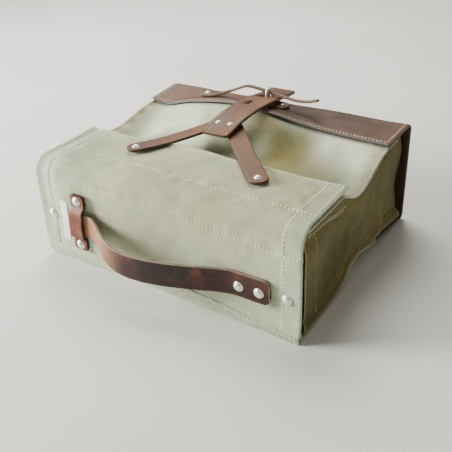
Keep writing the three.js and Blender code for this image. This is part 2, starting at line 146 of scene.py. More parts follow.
class Nodes:
    """A short way to write a material's node tree."""

    def __init__(self, name, roughness, metallic=0.0, sheen=0.0, specular=0.5, coat=0.0):
        self.material = bpy.data.materials.new(name)
        self.material.use_nodes = True
        self.tree = self.material.node_tree
        self.shader = self.tree.nodes["Principled BSDF"]
        values = {
            "Roughness": roughness, "Metallic": metallic, "Sheen Weight": sheen, "Sheen Roughness": 0.6,
            "Specular IOR Level": specular, "Coat Weight": coat, "Coat Roughness": 0.35,
        }
        for key, value in values.items():
            self.shader.inputs[key].default_value = value

    def node(self, kind, inputs, output=0, **settings):
        made = self.tree.nodes.new("ShaderNode" + kind)
        for key, value in settings.items():
            setattr(made, key, value)
        for key, value in inputs.items():
            if isinstance(value, bpy.types.NodeSocket):
                self.tree.links.new(value, made.inputs[key])
            else:
                made.inputs[key].default_value = value
        return made.outputs[output]

    def math(self, operation, *values):
        return self.node("Math", dict(enumerate(values)), operation=operation)

    def times(self, *values):
        return self.math("MULTIPLY", *values)

    def flat(self):
        """Where a point lies on its flat piece, in metres."""
        return self.node("Attribute", {}, "Vector", attribute_name="flat")

    def edge(self):
        """How far a point lies from its piece's edge, in millimetres."""
        return self.node("Attribute", {}, "Fac", attribute_name="edge")

    def noise(self, scale, detail=3.0, rough=0.55, where=None, stretch=(1, 1, 1)):
        moved = self.node("Mapping", {"Vector": where or self.flat(), "Scale": stretch})
        settings = {"Vector": moved, "Scale": scale, "Detail": detail, "Roughness": rough}
        return self.node("TexNoise", settings, "Fac")

    def ramp(self, value, *stops):
        made = self.tree.nodes.new("ShaderNodeValToRGB")
        while len(made.color_ramp.elements) < len(stops):
            made.color_ramp.elements.new(0.5)
        for element, (position, colour) in zip(made.color_ramp.elements, stops):
            element.position = position
            element.color = colour
        self.tree.links.new(value, made.inputs["Fac"])
        return made.outputs["Color"]

    def mix(self, share, a, b, blend="MIX"):
        made = self.tree.nodes.new("ShaderNodeMix")
        made.data_type = "RGBA"
        made.blend_type = blend
        for key, value in (("Factor", share), ("A", a), ("B", b)):
            socket = next(s for s in made.inputs if s.name == key and s.enabled)
            if isinstance(value, bpy.types.NodeSocket):
                self.tree.links.new(value, socket)
            else:
                socket.default_value = value
        return next(s for s in made.outputs if s.enabled)

    def steps(self, value, low, high, to_low=0.0, to_high=1.0):
        inputs = {"Value": value, "From Min": low, "From Max": high, "To Min": to_low, "To Max": to_high}
        return self.node("MapRange", inputs, interpolation_type="SMOOTHSTEP")

    def patch(self, x, y, radius, blur):
        """1 near a point of the flat piece, in millimetres, fading to 0 over blur."""
        point = tuple(v * MM for v in (x, y, 0))
        inside = self.node("SeparateXYZ", {"Vector": self.flat()})
        level = self.node("CombineXYZ", {"X": inside, "Y": inside.node.outputs["Y"], "Z": 0.0})
        near = self.node("VectorMath", {0: level, 1: point}, "Value", operation="DISTANCE")
        return self.steps(near, (radius - blur) * MM, (radius + blur) * MM, 1.0, 0.0)

    def bump(self, height, distance, normal=None, strength=1.0):
        inputs = {"Height": height, "Distance": distance, "Strength": strength}
        if normal is not None:
            inputs["Normal"] = normal
        return self.node("Bump", inputs)

    def finish(self, colour, normal=None, roughness=None):
        wanted = (("Base Color", colour), ("Normal", normal), ("Roughness", roughness))
        for key, value in wanted:
            if isinstance(value, bpy.types.NodeSocket):
                self.tree.links.new(value, self.shader.inputs[key])
            elif value is not None:
                self.shader.inputs[key].default_value = value
        return self.material


def canvas_material(name, light, middle, dark, stains=(), ribs=(0.0, 1.0), depth=0.28):
    """Ribbed cotton canvas: faded and soiled in patches, paler where it is folded.

    ribs is the direction across the ribs on the flat sheet, and depth sets how deep they are and how much
    painted shade darkens the grooves between them, with a painted highlight on their crests.
    """
    n = Nodes(name, roughness=0.92, sheen=0.2, specular=0.2)
    place_on = n.node("SeparateXYZ", {"Vector": n.flat()}).node.outputs
    x, y = place_on["X"], place_on["Y"]
    over_ribs = n.math("ADD", n.times(x, ribs[0]), n.times(y, ribs[1]))
    on_ribs = n.math("SUBTRACT", n.times(x, ribs[1]), n.times(y, ribs[0]))
    turned = n.node("CombineXYZ", {"X": on_ribs, "Y": over_ribs, "Z": 0.0})
    wander = n.times(n.noise(60, 2), 0.0014)
    rib = n.math("SINE", n.times(n.math("ADD", over_ribs, wander), 2 * math.pi / RIB_PITCH))
    thread = n.math("SINE", n.times(on_ribs, 2 * math.pi / THREAD_PITCH))
    weave = n.math("ADD", n.times(rib, 0.86), n.times(thread, 0.14))
    cloudy = n.noise(9, 5, 0.6)
    colour = n.ramp(cloudy, (0.3, dark), (0.5, middle), (0.7, light))
    stretch = (0.1, 1, 1)
    streaks = n.noise(190, 3, 0.6, turned, stretch)
    colour = n.mix(n.steps(streaks, 0.35, 0.75, 0.0, 0.2), colour, dark, "MULTIPLY")
    slubs = n.steps(n.noise(700, 2, 0.5, turned, stretch), 0.3, 0.7, 0.45, 1.0)
    # Painted shade in the grooves between the ribs, and a painted highlight on their crests.
    rib_painted_shade = n.steps(n.times(weave, slubs), -1.0, 1.0, 1.0 - depth, 1.0 + 0.4 * depth)
    colour = n.mix(1.0, colour, n.node("CombineColor", {0: rib_painted_shade, 1: rib_painted_shade, 2: rib_painted_shade}), "MULTIPLY")
    for x, y, radius, blur, strength, stain in stains:
        ragged = n.steps(n.noise(26, 4), 0.3, 0.65, 0.55, 1.0)
        share = n.times(n.patch(x, y, radius, blur), n.times(ragged, strength))
        colour = n.mix(share, colour, stain)
    worn = n.steps(n.edge(), 0.2, 1.4, 0.35, 0.0)
    colour = n.mix(worn, colour, rgb(222, 222, 200))
    normal = n.bump(weave, 0.0009 * depth)
    normal = n.bump(n.noise(900, 2), 0.00012, normal)
    normal = n.bump(n.noise(70, 4), 0.0011, normal, 0.6)
    return n.finish(colour, normal)


def leather_material(name, dark, middle, light, edge, roughness, mottle=12.0, black=0.0, worn_from=None):
    """Waxed leather: fine grain, mottling, faint scratches and a finished edge.

    black is the share of dark sweat stains, and worn_from the place along a strap where it turns paler.
    """
    n = Nodes(name, roughness=roughness, specular=0.32, coat=0.04)
    mottled = n.noise(mottle, 6, 0.65)
    colour = n.ramp(mottled, (0.32, dark), (0.5, middle), (0.68, light))
    fine = n.noise(220, 4, 0.7)
    colour = n.mix(n.steps(fine, 0.3, 0.7, 0.35, 0.0), colour, dark)
    place_on = n.node("SeparateXYZ", {"Vector": n.flat()}).node.outputs
    along = place_on["X"]
    if black:
        patches = n.steps(n.noise(34, 5, 0.7), 0.36, 0.56, 0.0, black)
        if worn_from:
            patches = n.times(patches, n.steps(along, 0.03, 0.07, 0.35, 1.0))
            patches = n.times(patches, n.steps(along, worn_from - 0.03, worn_from, 1.0, 0.15))
        colour = n.mix(patches, colour, rgb(30, 22, 22))
    if worn_from:
        pale = n.steps(along, worn_from - 0.02, worn_from + 0.03, 0.0, 0.6)
        colour = n.mix(pale, colour, rgb(196, 146, 108))
    scratches = n.steps(n.noise(420, 2, 0.5, stretch=(0.06, 1, 1)), 0.62, 0.8, 0.0, 0.3)
    colour = n.mix(scratches, colour, light)
    rim = n.steps(n.edge(), 0.1, 0.9, 1.0, 0.0)
    colour = n.mix(n.times(rim, n.steps(n.noise(90, 3), 0.3, 0.6, 0.7, 1.0)), colour, edge)
    flesh = n.steps(place_on["Z"], 0.02, 0.04)
    colour = n.mix(flesh, colour, rgb(62, 46, 34))
    cells = n.node("TexVoronoi", {"Vector": n.flat(), "Scale": 1100.0}, "Distance")
    normal = n.bump(cells, 0.00009, strength=0.7)
    normal = n.bump(n.noise(150, 5, 0.6), 0.0005, normal, 0.5)
    rough = n.steps(mottled, 0.3, 0.7, roughness - 0.1, roughness + 0.12)
    rough = n.math("SUBTRACT", rough, n.times(rim, 0.12))
    return n.finish(colour, normal, rough)


def metal_material(name, colour, roughness, streaks, metallic=1.0):
    n = Nodes(name, roughness=roughness, metallic=metallic)
    where = n.node("TexCoord", {}, "Object")
    worn = n.noise(500, 4, 0.6, where, streaks)
    dull = tuple(0.8 * c for c in colour[:3]) + (1,)
    tint = n.mix(n.steps(worn, 0.35, 0.75, 0.0, 0.5), colour, dull)
    rough = n.steps(worn, 0.3, 0.7, roughness - 0.08, roughness + 0.12)
    normal = n.bump(worn, 0.00004, strength=0.5)
    return n.finish(tint, normal, rough)


def thread_material(name, light, dark):
    n = Nodes(name, roughness=0.75, sheen=0.2)
    where = n.node("TexCoord", {}, "Object")
    twist = n.noise(1500, 2, 0.5, where)
    colour = n.ramp(n.noise(45, 3, 0.5, where), (0.35, dark), (0.65, light))
    normal = n.bump(twist, 0.0001)
    return n.finish(colour, normal)


tan_stain = rgb(134, 118, 54)
olive_soil = rgb(126, 130, 88)
# Painted shade: dark olive, for the front canvas's -X edge where it turns down into the side.
olive_painted_shade = rgb(112, 98, 50)
soil = rgb(168, 160, 116)
# Painted highlight: pale cream, for the places on the front canvas where its folds catch the light.
cream_painted_highlight = rgb(232, 234, 216)
canvas = canvas_material(
    "canvas",
    rgb(213, 224, 196),
    rgb(195, 206, 178),
    rgb(174, 184, 152),
    stains=(
        (10, 152, 130, 34, 0.4, soil),
        (45, 116, 36, 24, 0.55, soil),
        (110, 110, 30, 24, 0.4, soil),
        (118, 150, 26, 20, 0.55, soil),
        (-20, 150, 34, 26, 0.4, soil),
        (80, 168, 40, 24, 0.4, soil),
    ),
)
front_canvas_look = canvas_material(
    "canvas_front",
    rgb(208, 216, 190),
    rgb(186, 195, 167),
    rgb(160, 167, 130),
    stains=(
        (38, 142, 52, 38, 0.8, olive_soil),
        (96, 108, 40, 30, 0.75, olive_soil),
        (54, 148, 24, 22, 0.85, tan_stain),
        (78, 126, 24, 22, 0.85, tan_stain),
        (20, 174, 15, 14, 0.9, tan_stain),
        (98, 110, 22, 22, 0.7, tan_stain),
        (-20, 128, 26, 22, 0.5, olive_soil),
        (-132, 118, 12, 12, 0.7, tan_stain),
        # A row of painted shade along the -X edge, where the front turns down into the side.
        (-148, 104, 8, 7, 0.9, olive_painted_shade),
        (-148, 124, 7, 6, 0.9, olive_painted_shade),
        (-149, 146, 8, 6, 0.95, olive_painted_shade),
        (-149, 168, 8, 6, 0.95, olive_painted_shade),
        (-149, 190, 8, 6, 0.95, olive_painted_shade),
        # Painted highlights: paler patches where the folds of the front canvas face the light.
        (112, 168, 24, 22, 0.75, cream_painted_highlight),
        (88, 186, 14, 14, 0.5, cream_painted_highlight),
        (-92, 160, 30, 26, 0.8, cream_painted_highlight),
        (-50, 140, 14, 16, 0.4, cream_painted_highlight),
    ),
    depth=0.17,
)
LEANING = (0.774, 0.633)
# The +X side's canvas: the pale canvas with painted shade in its colour, darkened and yellowed as if in shade
# lit by warm bounced light.
side_canvas_painted_shade = canvas_material(
    "canvas_side_painted_shade", rgb(140, 132, 68), rgb(114, 105, 46), rgb(86, 78, 30), ribs=LEANING, depth=0.22
)
# The canvas for the -X side and the back: the pale canvas made darker and more olive with painted shade, part
# of the way towards the +X side.
side_canvas_part_shaded = canvas_material(
    "canvas_side_part_painted_shade", rgb(182, 184, 146), rgb(158, 159, 118), rgb(126, 127, 86), ribs=LEANING, depth=0.2
)
leather = leather_material(
    "bridle_leather", rgb(55, 37, 27), rgb(90, 62, 45), rgb(130, 96, 72), rgb(84, 82, 84), 0.48, 9.0
)
strap_leather = leather_material(
    "strap_leather", rgb(66, 37, 20), rgb(104, 64, 34), rgb(138, 93, 54), rgb(76, 56, 44), 0.55, 18.0
)
# The handle's pale edge colour is partly a worn edge and partly a painted highlight along it.
handle_leather = leather_material(
    "handle_leather", rgb(40, 18, 14), rgb(68, 33, 24), rgb(108, 62, 44), rgb(140, 122, 108), 0.4, 22.0,
    black=0.95, worn_from=0.16,
)
keeper_leather = leather_material(
    "keeper_leather", rgb(88, 38, 28), rgb(130, 66, 48), rgb(170, 118, 92), rgb(30, 24, 24), 0.38, 30.0, 0.25
)
lace_leather = leather_material(
    "lace_leather", rgb(66, 46, 34), rgb(104, 76, 58), rgb(140, 108, 84), rgb(96, 76, 62), 0.45
)
nickel = metal_material("nickel", rgb(240, 246, 240), 0.31, (1, 1, 1), 0.7)
steel = metal_material("steel", rgb(246, 248, 248), 0.4, (1, 1, 0.05))
# Plate steel: near-white and barely metallic, with a painted reflection of a bright sky in its colour.
plate_steel_painted_reflection = metal_material("plate_steel_painted_reflection", rgb(252, 254, 252), 0.5, (1, 1, 0.05), 0.15)
cream_thread = thread_material("cream_thread", rgb(248, 248, 220), rgb(226, 222, 182))
gold_thread = thread_material("gold_thread", rgb(236, 208, 160), rgb(190, 152, 104))
olive_thread = thread_material("olive_thread", rgb(206, 164, 92), rgb(156, 116, 56))


# ---- mesh tools


def into_scene(name, data):
    made = bpy.data.objects.new(name, data)
    bpy.context.scene.collection.objects.link(made)
    return made


def make_object(name, points, faces, material, body=None, slot=None, replaces=(), flat=None, edge=None):
    """A smooth mesh object. Points are in bag mm, and flat and edge say where each lies on its piece."""
    mesh = bpy.data.meshes.new(name)
    mesh.from_pydata(place(points).reshape(-1, 3).tolist(), [], faces)
    mesh.polygons.foreach_set("use_smooth", np.ones(len(faces), bool))
    if flat is not None:
        attribute = mesh.attributes.new("flat", "FLOAT_VECTOR", "POINT")
        attribute.data.foreach_set("vector", (flat.reshape(-1) * MM).astype(np.float32))
        attribute = mesh.attributes.new("edge", "FLOAT", "POINT")
        attribute.data.foreach_set("value", edge.reshape(-1).astype(np.float32))
    if material:
        mesh.materials.append(material)
    mesh.validate()
    made = into_scene(name, mesh)
    if body:
        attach(made, body)
    if replaces:
        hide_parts(*replaces)
    return made


def quads(index):
    """The faces of a grid of point numbers."""
    corners = (index[:-1, :-1], index[1:, :-1], index[1:, 1:], index[:-1, 1:])
    return np.stack(corners, -1).reshape(-1, 4)


def ring_faces(index, first=True, last=True):
    """The faces of a tube of rings of point numbers, with a cap on each end that isn't left open."""
    index = np.concatenate([index, index[:, :1]], 1)
    faces = quads(index).tolist()
    if first:
        faces.append(index[0, :-1].tolist())
    if last:
        faces.append(index[-1, -2::-1].tolist())
    return faces


def spread(grid, places, axis):
    """A grid's values between its rows, smoothly, at places counted in rows."""
    grid = np.moveaxis(grid, axis, 0)
    places = np.minimum(places, len(grid) - 1)
    low = np.minimum(places.astype(int), len(grid) - 2)
    share = (places - low).reshape(-1, *[1] * (grid.ndim - 1))
    return np.moveaxis(lerp(grid[low], grid[low + 1], share), 0, axis)


RIM_BULGE = 0.35
FLESH_SIDE = (0, 0, 60)


class Sheet:
    """A grid of points on the outside of a sheet. across and along are places on the flat sheet, in mm."""

    def __init__(self, surface, across, along):
        self.across = np.asarray(across, float)
        self.along = np.asarray(along, float)
        self.a, self.b = np.meshgrid(self.across, self.along, indexing="ij")
        self.points = np.stack(np.broadcast_arrays(*surface(self.a, self.b)), -1).astype(float)
        aside = np.minimum(self.a - self.across[0], self.across[-1] - self.a)
        self.edge = np.minimum(aside, np.minimum(self.b - self.along[0], self.along[-1] - self.b))

    def normals(self):
        return unit(np.cross(np.gradient(self.points, axis=0), np.gradient(self.points, axis=1)))

    def raise_by(self, height):
        self.points += self.normals() * np.broadcast_to(height, self.a.shape)[..., None]

    def sample(self, across, along):
        """The points and normals at these places on the sheet."""
        i = np.interp(across, self.across, np.arange(len(self.across)))
        j = np.interp(along, self.along, np.arange(len(self.along)))
        i0 = np.minimum(i.astype(int), len(self.across) - 2)
        j0 = np.minimum(j.astype(int), len(self.along) - 2)
        found = []
        for grid in (self.points, self.normals()):
            low, high = (lerp(grid[i0, k], grid[i0 + 1, k], (i - i0)[..., None]) for k in (j0, j0 + 1))
            found.append(lerp(low, high, (j - j0)[..., None]))
        return found

    def slump(self, hold, slack, lift, most, step=2):
        """Lets the sheet settle as cloth that starts lift mm higher, where hold is less than 1.

        The cloth is slack by this share of its size, and no point ends more than most mm from where it was.
        """
        coarse = (slice(None, None, step), slice(None, None, step))
        hold = np.broadcast_to(hold, self.a.shape)[coarse]
        before = self.points[coarse]
        grid = before + self.normals()[coarse] * ((1 - hold) * lift)[..., None]
        index = np.arange(grid[..., 0].size).reshape(grid.shape[:2])
        cloth = make_object("settling", grid, quads(index).tolist(), None)
        pins = cloth.vertex_groups.new(name="held")
        for number, share in enumerate(hold.reshape(-1)):
            pins.add([number], float(share), "REPLACE")
        modifier = cloth.modifiers.new("cloth", "CLOTH")
        settings = {
            "vertex_group_mass": "held", "quality": 8, "mass": 0.02, "tension_stiffness": 12,
            "compression_stiffness": 12, "bending_stiffness": 4, "shrink_min": -slack,
        }
        for key, value in settings.items():
            setattr(modifier.settings, key, value)
        modifier.collision_settings.use_collision = False
        scene = bpy.context.scene
        for number in range(1, SLUMP_FRAMES + 1):
            scene.frame_set(number)
        settled = cloth.evaluated_get(bpy.context.evaluated_depsgraph_get()).data
        found = np.zeros(len(settled.vertices) * 3)
        settled.vertices.foreach_get("co", found)
        moved = found.reshape(grid.shape) / MM
        moved[..., 1] -= TOP_Y / MM
        moved -= before
        scene.frame_set(1)
        bpy.data.objects.remove(cloth)
        length = np.linalg.norm(moved, axis=-1, keepdims=True)
        moved *= np.minimum(1, most / np.maximum(length, 1e-6))
        for _ in range(4):
            moved[1:-1] = (moved[:-2] + 2 * moved[1:-1] + moved[2:]) / 4
            moved[:, 1:-1] = (moved[:, :-2] + 2 * moved[:, 1:-1] + moved[:, 2:]) / 4
        for axis, count in enumerate(self.a.shape):
            moved = spread(moved, np.arange(count) / step, axis)
        self.points += moved

    def solid(self, name, thickness, material, **settings):
        """The sheet with its thickness, and its edges rounded."""
        thickness = np.broadcast_to(thickness, self.a.shape)[..., None]
        inner = self.points - self.normals() * thickness
        count = self.a.size
        outer_index = np.arange(count).reshape(self.a.shape)
        inner_index = outer_index + count
        outline = np.concatenate(
            [outer_index[:-1, 0], outer_index[-1, :-1], outer_index[:0:-1, -1], outer_index[0, :0:-1]]
        )
        inward = np.zeros_like(self.points)
        inward[0] = self.points[1] - self.points[0]
        inward[-1] = self.points[-2] - self.points[-1]
        inward[:, 0] = self.points[:, 1] - self.points[:, 0]
        inward[:, -1] = self.points[:, -2] - self.points[:, -1]
        bulged = (self.points + inner) / 2 - unit(inward) * thickness * RIM_BULGE
        rim = np.arange(len(outline)) + 2 * count
        after, rim_after = np.roll(outline, -1), np.roll(rim, -1)
        upper_rim = np.stack([outline, rim, rim_after, after], -1)
        lower_rim = np.stack([rim, outline + count, after + count, rim_after], -1)
        faces = [quads(outer_index), quads(inner_index)[:, ::-1], upper_rim, lower_rim]
        flat = np.stack([self.a, self.b, np.zeros_like(self.a)], -1).reshape(-1, 3)
        edge = self.edge.reshape(-1)
        points = [self.points.reshape(-1, 3), inner.reshape(-1, 3), bulged.reshape(-1, 3)[outline]]
        return make_object(
            name, np.concatenate(points), np.concatenate(faces).tolist(), material,
            flat=np.concatenate([flat, flat + FLESH_SIDE, flat[outline]]),
            edge=np.concatenate([edge, edge, np.zeros(len(outline))]), **settings,
        )


def curve_through(given, step=1.5):
    """Points about step apart on a smooth curve through the given points."""
    given = np.array(given, float)
    chord = distances(given)
    slope = np.gradient(given, chord, axis=0)
    t = np.linspace(0, chord[-1], int(chord[-1] / step) + 1)
    i = np.clip(np.searchsorted(chord, t, side="right") - 1, 0, len(given) - 2)
    span = (chord[i + 1] - chord[i])[:, None]
    u = (t[:, None] - chord[i][:, None]) / span
    start = given[i] * (1 + 2 * u) * (1 - u) ** 2 + slope[i] * span * u * (1 - u) ** 2
    end = given[i + 1] * u**2 * (3 - 2 * u) - slope[i + 1] * span * u**2 * (1 - u)
    return start + end


EDGE_BAND = 3.2


class Strap:
    """A leather strap whose outer face follows a line. Its ends have rounded corners."""

    def __init__(self, line, across, width, thickness, corners, bevel=0.7):
        self.line = np.asarray(line, float)
        self.s = distances(self.line)
        for radius, from_end in zip(corners, (False, True)):
            self.refine(radius, from_end)
        ahead = unit(np.gradient(self.line, self.s, axis=0))
        self.normal = unit(np.cross(ahead, np.broadcast_to(across, self.line.shape)))
        self.across = np.cross(self.normal, ahead)
        self.thickness = thickness
        self.bevel = bevel
        widths = np.atleast_1d(width)
        self.half = np.interp(self.s, np.linspace(0, self.s[-1], len(widths)), widths) / 2
        for radius, from_end in zip(corners, (self.s, self.s[-1] - self.s)):
            self.half -= radius - np.sqrt(radius**2 - np.clip(radius - from_end, 0, radius) ** 2)
        self.half = np.maximum(self.half, 0.6)

    def refine(self, radius, from_end):
        """Adds points near an end, so that its corners come out round."""
        extra = radius * (1 - np.cos(np.linspace(0, math.pi / 2, 8)))
        extra = self.s[-1] - extra if from_end else extra
        s = np.unique(np.round(np.concatenate([self.s, extra]), 4))
        self.line = on_line(s, self.s, self.line)
        self.s = s

    def section(self):
        """(how far aside as a share and an amount, depth, edge distance) for each point round the strap."""
        b = self.bevel
        deep = self.thickness
        mid = 0.29 * b
        side = [(b, 0), (mid, mid), (0, b), (0, deep - b), (mid, deep - mid), (b, deep), (EDGE_BAND, deep)]
        left = [(-1, inset, depth) for inset, depth in side]
        right = [(1, inset, depth) for inset, depth in reversed(side)]
        under = [(1, EDGE_BAND, 0), (0, 0, 0), (-1, EDGE_BAND, 0)]
        return np.array([*left, (0, 0, deep), *right, *under], float)

    def at(self, along, aside=0.0):
        """Points and normals on the outer face."""
        grids = (self.line, self.normal, self.across)
        point, normal, across = (on_line(along, self.s, grid) for grid in grids)
        return point + across * aside, normal

    def piece(self, name, material, start=None, end=None, **settings):
        """The part of the strap between two places along it, which stay open where it carries on."""
        low = 0 if start is None else int(np.argmin(abs(self.s - start)))
        high = len(self.s) - 1 if end is None else int(np.argmin(abs(self.s - end)))
        rings = slice(low, high + 1)
        side, amount, deep = self.section().T
        half = self.half[rings][:, None]
        aside = side * (half - np.minimum(amount, half * 0.9))
        deep = np.broadcast_to(deep, aside.shape)
        points = self.line[rings][:, None] + self.across[rings][:, None] * aside[..., None]
        points = points - self.normal[rings][:, None] * deep[..., None]
        along = np.broadcast_to(self.s[rings][:, None], aside.shape)
        from_end = np.minimum(along, self.s[-1] - along)
        edge = np.where(deep > self.thickness - 0.1, 9.0, np.minimum(half - abs(aside), from_end))
        index = np.arange(aside.size).reshape(aside.shape)
        faces = ring_faces(index, start is None, end is None)
        flat = np.stack([along, aside, deep * 3], -1)
        return make_object(name, points, faces, material, flat=flat, edge=edge, **settings)


def jointed(strap, material, slot, zones):
    """A strap's pieces: name, start, end, the two bodies, where along X it bends between them, CAD nodes. The
    bodies and bend places are not used.
    """
    for name, start, end, bodies, bend, nodes in zones:
        made = strap.piece(name, material, start, end, slot=slot, replaces=nodes)
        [place((x, 0, 0)) for x in bend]
        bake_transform(made)


# A stitch from end to end: how far along it as a share, how thick, and how high.
STITCH = ((-0.5, 0.35, -0.5), (-0.36, 0.9, 0.15), (0, 1, 0.45), (0.36, 0.9, 0.15), (0.5, 0.35, -0.5))
STITCH_SIDES = 6


def stitch_row(name, points, normals, material, body=None, pitch=4.0, thickness=0.55, share=0.74):
    """Stitches along a line, each a short bowed thread whose ends dip into the cloth."""
    s = distances(points)
    count = max(int(s[-1] / pitch), 1)
    pitch = s[-1] / count
    shift, size, lift = np.array(STITCH).T
    where = (np.arange(count)[:, None] + 0.5) * pitch + shift * pitch * share
    normal = on_line(where, s, normals)[..., None, :]
    ahead = unit(on_line(where + 0.4, s, points) - on_line(where - 0.4, s, points))[..., None, :]
    angle = np.arange(STITCH_SIDES)[:, None] * 2 * math.pi / STITCH_SIDES
    ring = np.cross(ahead, normal) * np.cos(angle) + normal * np.sin(angle)
    raised = normal * lift[:, None, None] + ring * size[:, None, None]
    vertices = on_line(where, s, points)[..., None, :] + raised * thickness
    index = np.arange(vertices[..., 0].size).reshape(vertices.shape[:3])
    faces = [face for stitch in index for face in ring_faces(stitch[:, ::-1])]
    return make_object(name, vertices, faces, material, body)


def sheet_stitches(name, sheet, across, along, material, body, **settings):
    """A row of stitches over a sheet, along a line of places on it."""
    across, along = np.broadcast_arrays(np.asarray(across, float), np.asarray(along, float))
    points, normals = sheet.sample(across, along)
    return stitch_row(name, points, normals, material, body, **settings)


def lathe(name, profile, centre, axis, material, segments=32, **settings):
    """A turned piece about an axis through centre. The profile is (radius, height) pairs, top to bottom."""
    axis = Vector(axis).normalized()
    side = axis.orthogonal().normalized()
    angle = np.arange(segments)[:, None] * 2 * math.pi / segments
    turned = np.array(side) * np.cos(angle) + np.array(axis.cross(side)) * np.sin(angle)
    radius, height = np.array(profile).T[..., None, None]
    points = np.array(centre) + np.array(axis) * height + turned * np.maximum(radius, 0.01)
    index = np.arange(len(profile) * segments).reshape(-1, segments)
    return make_object(name, points, ring_faces(index[:, ::-1]), material, **settings)


def tube(name, line, radius, material, sides=12, **settings):
    """A round wire along a line across X, with closed ends."""
    line = np.asarray(line, float)
    aside = np.array([1.0, 0, 0])
    other = np.cross(unit(np.gradient(line, axis=0)), aside)
    angle = np.linspace(0, 2 * math.pi, sides, endpoint=False)[:, None]
    points = line[:, None] + (aside * np.cos(angle) + other[:, None] * np.sin(angle)) * radius
    index = np.arange(len(line) * sides).reshape(-1, sides)
    around = quads(np.concatenate([index, index[:, :1]], 1))[:, ::-1]
    caps = [index[0].tolist(), index[-1, ::-1].tolist()]
    return make_object(name, points, around.tolist() + caps, material, **settings)


# ---- surfaces shared by the pieces


def leather_edge(x):
    return lerp(LEATHER_FRONT_LEFT, LEATHER_FRONT_RIGHT, (x + HALF_WIDTH) / (2 * HALF_WIDTH))


def leather_height(x, y):
    """Outside of the leather at the front, as in the CAD part."""
    rise = 12 * bell(x, -22, 48) - 7 * bell(x, -130, 18)
    along = (y - leather_edge(x)) / (LENGTH - CORNER_RADIUS - leather_edge(x))
    return DEPTH + rise * (1 - np.clip(along, 0, 1))


def front_height(x, y):
    """Outside of the front canvas, as in the CAD part."""
    slack = np.where(x > 0, lerp(9, 16, (x / HALF_WIDTH) ** 2), 9)
    under = leather_height(x, y) - LEATHER_THICKNESS - 0.9
    along = np.clip((y - SAG_START) / (leather_edge(x) - SAG_START), 0, 1)
    return lerp(FRONT_HEIGHT, under, along) - slack * np.sin(math.pi * along**0.75) ** 2


BACK_EDGE = ((0, 0), (68, 0.3), (80, 3), (92, 7), (102, 15.5), (113, 19.5), (125, 21), (140, 17), (159, 11.5),
             (181, 9), (210, 5), (239, 0.8), (248, 0.5))


def back_lift(x, y):
    """How far the slack back rises off the ground towards its +X edge."""
    rise = np.interp(y, *zip(*BACK_EDGE))
    return rise * smoothstep(x, 96, HALF_WIDTH) ** 1.4


# ---- canvas


def seam_pull(distance, depth=0.45, reach=1.5):
    """How a row of stitches pulls the cloth in."""
    return -depth * bell(distance, 0, reach)


def hem_step(distance):
    """The raised band of a folded hem, from its edge to its inner fold."""
    return 0.6 * (1 - smoothstep(distance, HEM_WIDTH - 1, HEM_WIDTH + 2.5))


def creases(a, b, middle, given):
    """Soft folds and ridges, each (height, how much it leans, where it crosses the middle, width)."""
    return sum(height * bell(a - lean * (b - middle), at, width) for height, lean, at, width in given)


LID_FOLD_START = FLAP_HEIGHT - FOLD_RADIUS
LID_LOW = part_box("lid_panel")[0].z / MM
LID_TURN = FOLD_RADIUS * math.pi / 2
LID_END = LID_FOLD_START + LID_TURN + FLAP_END - FOLD_RADIUS


def flap_lift(x, y):
    along = np.clip((y - FLAP_HINGE) / (FLAP_END - FLAP_HINGE), 0, 1)
    return along**2 * (2.5 * bell(x, -10, 26) + 1.5 * smoothstep(-x, 90, 140))


def lid_surface(x, s):
    """The lid: s is the height up the top panel, then the distance on round the fold and along the flap."""
    turn = np.clip((s - LID_FOLD_START) / FOLD_RADIUS, 0, math.pi / 2)
    beyond = np.maximum(s - LID_FOLD_START - LID_TURN, 0)
    y = FOLD_RADIUS * (1 - np.cos(turn)) + beyond
    z = np.where(s < LID_FOLD_START, s, LID_FOLD_START + FOLD_RADIUS * np.sin(turn)) + flap_lift(x, y)
    return corner_tuck(x, z), y - seam_flare(x, z), z


def corner_tuck(x, z):
    """The lower corner at -X is rubbed round."""
    cut = 8 * np.clip(1 - z / 16, 0, 1) ** 2
    return x + cut * smoothstep(-x, 90, HALF_WIDTH)


def seam_flare(x, z):
    """The lower edge stands out at +X and tucks under at -X."""
    out = 3.2 * (1 - smoothstep(z, 0, 22)) * smoothstep(x, 50, HALF_WIDTH)
    tuck = 4.5 * np.clip(1 - z / 6, 0, 1) ** 1.5 * (1 - smoothstep(x, -50, 60))
    return out - tuck


def upper_row(x):
    """Height of the row of stitches across the top panel."""
    return np.interp(x, (-150, -100, -50, -10, 30, 75, 150), (88.7, 92.3, 94.2, 94.6, 91.8, 87.8, 83))


def flap_row(x):
    """Place of the row of stitches across the flap, at the end of the fold."""
    return LID_FOLD_START + LID_TURN + 16 - 0.04 * x


